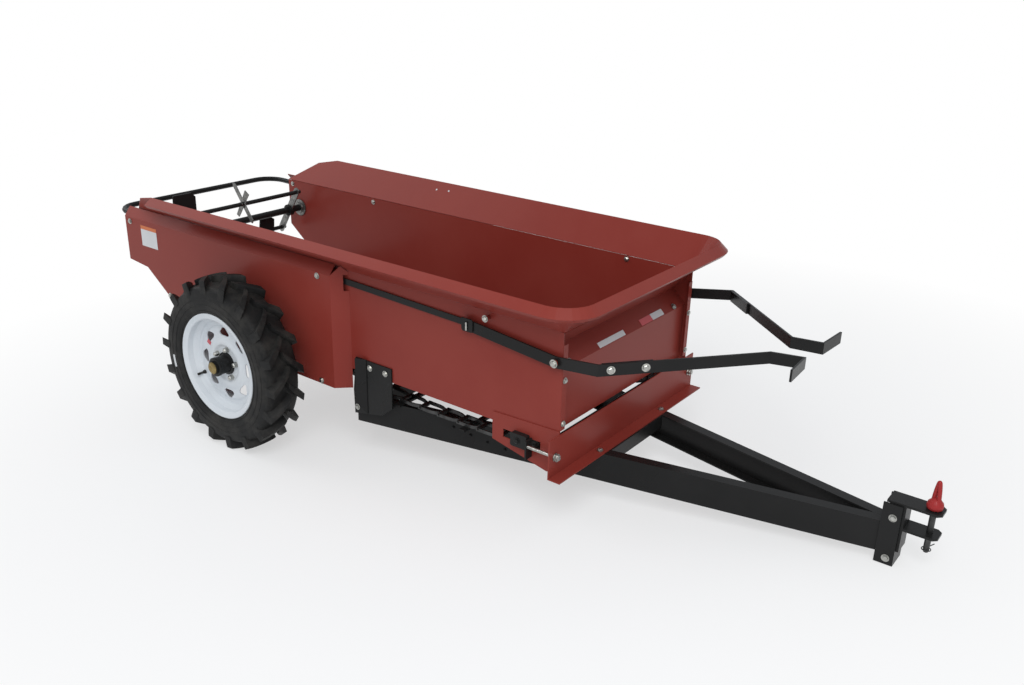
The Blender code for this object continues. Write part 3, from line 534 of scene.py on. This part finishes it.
# A flat bar along (distance, x) points, wide across them and thick outward.
def strip(path, wide, thick):
    path = np.array(path, dtype=float)
    way = np.gradient(path, axis=0)
    way /= np.linalg.norm(way, axis=1)[:, None]
    side = np.stack([-way[:, 1], way[:, 0]], -1) * wide / 2
    rows = [np.stack([p[:, 0], np.full(len(path), n), p[:, 1]], -1)
            for p, n in ((path - side, -thick / 2), (path + side, -thick / 2),
                         (path + side, thick / 2), (path - side, thick / 2))]
    points = np.stack(rows, 1).reshape(-1, 3)
    count = len(path)
    faces = [list(f) for f in gridFaces(count, 4, False, True)]
    return points, faces + [[3, 2, 1, 0], [4 * (count - 1) + i for i in range(4)]]


pitchLength = along[-1] / chain["links"]
shapes = []
for side in (-1, 1):
    for k in range(chain["links"]):
        s = k * pitchLength
        for hand in (-1, 1):
            line = [(s - 0.004, hand * 0.0165), (s + 0.010, hand * 0.0175), (s + 0.026, hand * 0.0245),
                    (s + 0.042, hand * 0.0270), (s + pitchLength + 0.006, hand * 0.0270)]
            points, faces = strip(line, 0.0062, 0.0125)
            shapes.append((onTrack(points + (0, 0, side * chain["x"])), faces))
        for reach, radius, half in ((0, 0.0085, 0.0170), (0, 0.0042, 0.0345)):
            turned = lathe([(-half, 0.0002), (-half, radius), (half, radius), (half, 0.0002)], (0, 0, 0), (0, 0, 1), 12)
            shapes.append((onTrack(turned[0] + (s, 0, side * chain["x"])), turned[1]))
apronChain = makeMesh("apronChain", *joined(shapes), steel, "chassis", angle=30)
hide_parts("apron")
shapes = []
for k in range(chain["slats"]):
    s = along[-1] * (k + 0.35) / chain["slats"]
    for low, high, inner, outer in ((-0.0115, 0.0115, 0.0068, 0.0098), (-0.0115, -0.0085, 0.0098, 0.0150)):
        rows = np.array([(s + a, n, x) for x in (-0.400, 0.400) for a, n in
                         ((low, inner), (high, inner), (high, outer), (low, outer))])
        faces = [[3, 2, 1, 0], [4, 5, 6, 7], [0, 1, 5, 4], [1, 2, 6, 5], [2, 3, 7, 6], [3, 0, 4, 7]]
        shapes.append((onTrack(rows), faces))
makeMesh("apronSlats", *joined(shapes), black, "chassis", smooth=False)
print("apron done")


# Beater: shaft, bars and paddles black, arms and crossed blades bare steel, one crossed pair on each bar.
# The upper paddle leans forwards from its bar and the lower one stands up from it.
rotor = {"y": 0.723, "z": 0.632, "turn": 122.4, "reach": 0.1146, "end": 0.362, "arm": 0.340, "tip": 0.185,
         "blade": 0.005, "cross": 68, "shaft": 0.0155, "bar": 0.0095}


# A plate square to the shaft; its outline is (outward, across).
def rotorPlate(x, degrees, outline, thick, shift=0.0):
    t = math.radians(degrees)
    ring = [(rotor["y"] + a * math.cos(t) - (b + shift) * math.sin(t),
             rotor["z"] + a * math.sin(t) + (b + shift) * math.cos(t))
            for a, b in outline]
    return extruded(ring, x - thick / 2, x + thick / 2)


# A round bar along X with bevelled ends.
def alongX(y, z, low, high, radius, count=24):
    bevel = min(0.0015, radius * 0.2)
    return lathe([(low, 0.0002), (low, radius - bevel), (low + bevel, radius), (high - bevel, radius),
                  (high, radius - bevel), (high, 0.0002)], (0, y, z), (1, 0, 0), count)


bars, blades, heads = [alongX(rotor["y"], rotor["z"], -0.412, 0.412, rotor["shaft"])], [], []
for flip in (0, 180):
    turn = rotor["turn"] + flip
    t = math.radians(turn)
    y, z = rotor["y"] + rotor["reach"] * math.cos(t), rotor["z"] + rotor["reach"] * math.sin(t)
    bars.append(alongX(y, z, -rotor["end"], rotor["end"], rotor["bar"]))
    x = 0.022 if not flip else -0.130
    tip = rotor["tip"]
    outward = [(0.045, -0.009), (0.090, -0.011), (tip - 0.03, -0.013), (tip, -0.015),
               (tip, 0.015), (tip - 0.03, 0.013), (0.090, 0.011), (0.045, 0.009)]
    blades.append(rotorPlate(x, turn, outward, rotor["blade"]))
    crossing = [(-0.055, -0.002), (-0.045, -0.010), (0.140, -0.010), (0.155, -0.001), (0.140, 0.010), (-0.045, 0.010)]
    blades.append(rotorPlate(x + 0.006, turn - rotor["cross"], crossing, rotor["blade"],
                             rotor["reach"] * math.sin(math.radians(rotor["cross"]))))
    for end in (-1, 1):
        heads.append(boltShape((end * (rotor["arm"] + 0.0035), y, z), (end, 0, 0), 0.0085))
        heads.append(boltShape((x + end * 0.0095, y, z), (end, 0, 0), 0.0085))
    low, high = (-0.340, -0.225) if not flip else (0.200, 0.290)
    slant = t - math.radians(32) if not flip else math.radians(96)
    radial, across = np.array((math.cos(slant), math.sin(slant))), np.array((-math.sin(slant), math.cos(slant)))
    long = 0.100 if not flip else 0.066
    corners = [(xx, *(np.array((y, z)) + radial * r + across * 0.003))
               for xx, r in ((low, -0.014), (high, -0.014), (high, 0.8 * long), (high - 0.020, long),
                             (low + 0.004, long))]
    count = len(corners)
    plate = np.array(corners + [np.add(c, (0, *(across * -0.006))) for c in corners])
    faces = [list(range(count))[::-1], list(range(count, 2 * count))]
    bars.append((plate, faces + [[i, (i + 1) % count, (i + 1) % count + count, i + count] for i in range(count)]))
for end in (-1, 1):
    reach = rotor["reach"] + 0.020
    arm = [(-reach, -0.011), (-reach + 0.010, -0.017), (reach - 0.010, -0.017), (reach, -0.011), (reach, 0.011),
           (reach - 0.010, 0.017), (-reach + 0.010, 0.017), (-reach, 0.011)]
    blades.append(rotorPlate(end * rotor["arm"], rotor["turn"], arm, 0.006))
    bars.append(alongX(rotor["y"], rotor["z"], min(end * 0.355, end * 0.330), max(end * 0.355, end * 0.330), 0.027))
rotorBars = makeMesh("beaterBars", *joined(bars), black, "beater", angle=30)
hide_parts("beater")
makeMesh("beaterBlades", *joined(blades), bladeSteel, "beater", smooth=False)
makeMesh("beaterBolts", *joined(heads), zinc, "beater", angle=25)
print("beater done")


# Levers: the handle bar laps the pivot bar behind the first bend, with two bolts
lever = {"half": 0.019, "lap": (0.012, 0.168), "bolts": (0.038, 0.144)}
bendOut, bendIn = np.array((0.4500, -1.5706, 0.6883)), np.array((0.0804, -1.946, 0.7147))
leverWay = (bendIn - bendOut) / np.linalg.norm(bendIn - bendOut)
leverUp = np.cross(leverWay, np.cross((0, 0, 1.0), leverWay))
leverUp /= np.linalg.norm(leverUp)
leverBack = np.cross(leverUp, leverWay)  # towards the tub
if leverBack[1] < 0:
    leverBack = -leverBack
for label, side in (("right", -1), ("left", 1)):
    mirror = np.array((side, 1, 1))
    start, stop = (bendOut + leverWay * d for d in lever["lap"])
    half = lever["half"]
    lap = [p + leverUp * h + leverBack * 0.0036
           for p, h in ((start, -half), (stop, -half), (stop, half), (start, half))]
    points, faces = quadPlate([c * mirror for c in lap], leverBack * 0.0062 * mirror)
    makeMesh(f"leverLap_{label}", points, faces, black, f"lever_{label}", smooth=False)
    heads = [boltShape((bendOut + leverWay * d - leverBack * 0.0034) * mirror, -leverBack * mirror, 0.0095)
             for d in lever["bolts"]]
    makeMesh(f"leverBolts_{label}", *joined(heads), zinc, f"lever_{label}", angle=25)
    # The clevis block at the link pin, with a small upright pin on it
    low, high = sorted((side * 0.4350, side * 0.4395))
    block = boxShape((low, -1.080, 0.6780), (high, -1.034, 0.7230), 0.005)
    makeMesh(f"leverClevis_{label}", *block, black, f"lever_{label}", angle=25)
    upright = lathe([(0.6840, 0.0002), (0.6840, 0.0036), (0.7120, 0.0036), (0.7120, 0.0002)],
                    (side * 0.4425, -1.056, 0), (0, 0, 1), 12)
    makeMesh(f"leverPin_{label}", *upright, zinc, f"lever_{label}", angle=30)
print("levers done")


# Rails: small black bolts low on the web, and the hitch pin with its dipped handle and clip
# Half width of the drawbar at y: its rails run straight from the nose to the frame brackets.
def railX(y):
    return 0.0335 + (0.4165 - 0.0335) / (2.334 - 0.508) * (y + 2.334)


for label, side in (("right", -1), ("left", 1)):
    way = Vector((side * 1, -0.21, 0))
    spots = [(-0.908, 0.2401), (-0.976, 0.2250), (-1.042, 0.2120), (-1.110, 0.2010)]
    shapes = [boltShape((side * railX(y), y, z), way, 0.0048, 0.006) for y, z in spots]
    makeMesh(f"railBolts_{label}", *joined(shapes), black, "chassis", angle=25)

pin = (0.0, -2.467)
shaft = [(0.2020, 0.0002), (0.2060, 0.0070), (0.2120, 0.0092), (0.3600, 0.0095), (0.3600, 0.0002)]
pinShaft = makeMesh("pinShaft", *lathe(shaft, (*pin, 0), (0, 0, 1), 32), steel, "hitch_pin", angle=30)
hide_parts("hitch_pin")
collar = [(0.3530, 0.0002), (0.3530, 0.0190), (0.3560, 0.0228), (0.3650, 0.0245), (0.3740, 0.0225), (0.3800, 0.0170),
          (0.3860, 0.0130), (0.3900, 0.0002)]
loopLine, loopCount = [], 28
for k in range(loopCount + 1):  # a pointed loop in the plane across the drawbar
    t = math.pi * k / loopCount
    loopLine.append((0.0105 * math.cos(t) * (1 - 0.5 * math.sin(t)), 0.378 + 0.062 * math.sin(t) ** 0.8))
line = np.array([(x * 0.5, pin[1] + x * 0.8, z) for x, z in loopLine])


# A round wire along a line of points: a circle square to the line at each one.
def tube(line, radius, count=14):
    line = np.asarray(line, dtype=float)
    way = np.gradient(line, axis=0)
    way /= np.linalg.norm(way, axis=1)[:, None]
    flat = np.cross(way[len(way) // 4], way[-len(way) // 4])
    size = np.linalg.norm(flat)
    flat = flat / size if size > 1e-6 else np.array(Vector(way[0]).orthogonal().normalized())
    other = np.cross(way, flat)
    other /= np.linalg.norm(other, axis=1)[:, None]
    t = np.linspace(0, 2 * np.pi, count, endpoint=False)[None, :, None]
    points = line[:, None] + radius * (np.cos(t) * flat + np.sin(t) * other[:, None])
    faces = [list(f) for f in gridFaces(len(line), count, False, True)]
    faces += [list(range(count))[::-1], [(len(line) - 1) * count + i for i in range(count)]]
    return points.reshape(-1, 3), faces


grip = joined([lathe(collar, (*pin, 0), (0, 0, 1), 32), tube(line, 0.0065)])
makeMesh("pinHandle", *grip, gripRed, "hitch_pin", angle=60, slot="grip_red")
t = np.linspace(0, 1.75 * np.pi, 36)
clip = np.stack([0.013 * np.cos(t), pin[1] + 0.013 * np.sin(t), 0.2150 + 0.0 * t], -1)
legs = np.array([(0.013 + 0.010 * k, pin[1] - 0.004 * k, 0.2150) for k in range(4)])[::-1]
makeMesh("pinClip", *tube(np.concatenate([legs, clip]), 0.0016, 10), steel, "hitch_pin", angle=60)
print("hitch done")


# Stage, light and camera
# A piece of the stage, which isn't part of the machine.
def stagePiece(name, verts, faces, material):
    mesh = bpy.data.meshes.new(name)
    mesh.from_pydata(verts, [], faces)
    piece = bpy.data.objects.new(name, mesh)
    bpy.context.scene.collection.objects.link(piece)
    mesh.materials.append(material)


# Mixes the lit floor towards white where the camera or a glossy ray sees it, all white far away.
def brightOnCamera(tree, shader, out):
    light = tree.nodes.new("ShaderNodeEmission")
    light.inputs["Color"].default_value = (1, 1, 1, 1)
    path, where = tree.nodes.new("ShaderNodeLightPath"), tree.nodes.new("ShaderNodeTexCoord")
    far, most, fade, level, mix = (tree.nodes.new(kind) for kind in (
        "ShaderNodeVectorMath", "ShaderNodeMath", "ShaderNodeMapRange", "ShaderNodeMath", "ShaderNodeMixShader"))
    far.operation, most.operation, level.operation = "LENGTH", "MAXIMUM", "MULTIPLY"
    fade.inputs["From Min"].default_value, fade.inputs["From Max"].default_value = 1.2, 3.2
    fade.inputs["To Min"].default_value, fade.inputs["To Max"].default_value = 0.55, 1.0
    tree.links.new(where.outputs["Object"], far.inputs[0])
    tree.links.new(far.outputs["Value"], fade.inputs["Value"])
    tree.links.new(path.outputs["Is Camera Ray"], most.inputs[0])
    tree.links.new(path.outputs["Is Glossy Ray"], most.inputs[1])
    tree.links.new(most.outputs[0], level.inputs[0])
    tree.links.new(fade.outputs["Result"], level.inputs[1])
    tree.links.new(level.outputs[0], mix.inputs[0])
    tree.links.new(shader.outputs[0], mix.inputs[1])
    tree.links.new(light.outputs[0], mix.inputs[2])
    tree.links.new(mix.outputs[0], out.inputs["Surface"])


floorPaint, floorTree, floorShader = newMaterial("paleFloor", (0.86, 0.87, 0.88), 0.9)
brightOnCamera(floorTree, floorShader, floorTree.nodes["Material Output"])
reach = 14.0
stagePiece("floor", [(-reach, -reach, 0), (reach, -reach, 0), (reach, reach, 0), (-reach, reach, 0)], [(0, 1, 2, 3)],
           floorPaint)

studio = {"sky": (0.93, 0.96, 1.0, 1), "strength": 0.57, "key": 165, "fill": 60}
world = bpy.data.worlds.new("studio")
bpy.context.scene.world = world
world.use_nodes = True
tree = world.node_tree
tree.nodes.clear()
out = tree.nodes.new("ShaderNodeOutputWorld")
lit, seen, mix = (tree.nodes.new(kind) for kind in (
    "ShaderNodeBackground", "ShaderNodeBackground", "ShaderNodeMixShader"))
lit.inputs["Color"].default_value = studio["sky"]
lit.inputs["Strength"].default_value = studio["strength"]
seen.inputs["Color"].default_value = (1, 1, 1, 1)
seen.inputs["Strength"].default_value = 1.0
path = tree.nodes.new("ShaderNodeLightPath")
tree.links.new(path.outputs["Is Camera Ray"], mix.inputs[0])
tree.links.new(lit.outputs[0], mix.inputs[1])
tree.links.new(seen.outputs[0], mix.inputs[2])
tree.links.new(mix.outputs[0], out.inputs["Surface"])


# A square lamp at a spot, aimed at a target.
def areaLight(name, spot, target, size, power):
    data = bpy.data.lights.new(name, "AREA")
    data.shape, data.size, data.energy = "SQUARE", size, power
    lamp = bpy.data.objects.new(name, data)
    bpy.context.scene.collection.objects.link(lamp)
    lamp.matrix_world = (Matrix.Translation(spot)
                         @ (Vector(target) - Vector(spot)).to_track_quat("-Z", "Y").to_matrix().to_4x4())


areaLight("softKey", (-3.5, -3.0, 4.5), (0, 0, 0.4), 3.0, studio["key"])
areaLight("softFill", (-1.0, 4.5, 4.0), (0, 0, 0.4), 3.5, studio["fill"])

# The camera is set beside the level machine and turns with it to the parked one. Angles are in degrees.
camera = {"x": -2.7299, "y": -2.9608, "z": 1.8419, "azimuth": 53.115, "elevation": -21.934, "roll": 1.389,
          "lens": 34.44}
azimuth, elevation, roll = (math.radians(camera[k]) for k in ("azimuth", "elevation", "roll"))
look = Vector((math.sin(azimuth) * math.cos(elevation), math.cos(azimuth) * math.cos(elevation), math.sin(elevation)))
right = look.cross(Vector((0, 0, 1))).normalized()
up = right.cross(look)
right, up = (right * math.cos(roll) + up * math.sin(roll), up * math.cos(roll) - right * math.sin(roll))
facing = Matrix((right, up, -look)).transposed().to_4x4()
data = bpy.data.cameras.new("view")
data.sensor_width, data.lens = 36.0, camera["lens"]
data.clip_end = 60
viewer = bpy.data.objects.new("view", data)
bpy.context.scene.collection.objects.link(viewer)
viewer.matrix_world = parked @ Matrix.Translation((camera["x"], camera["y"], camera["z"])) @ facing
bpy.context.scene.camera = viewer
bpy.context.scene.view_settings.view_transform = "Standard"
print("stage done")
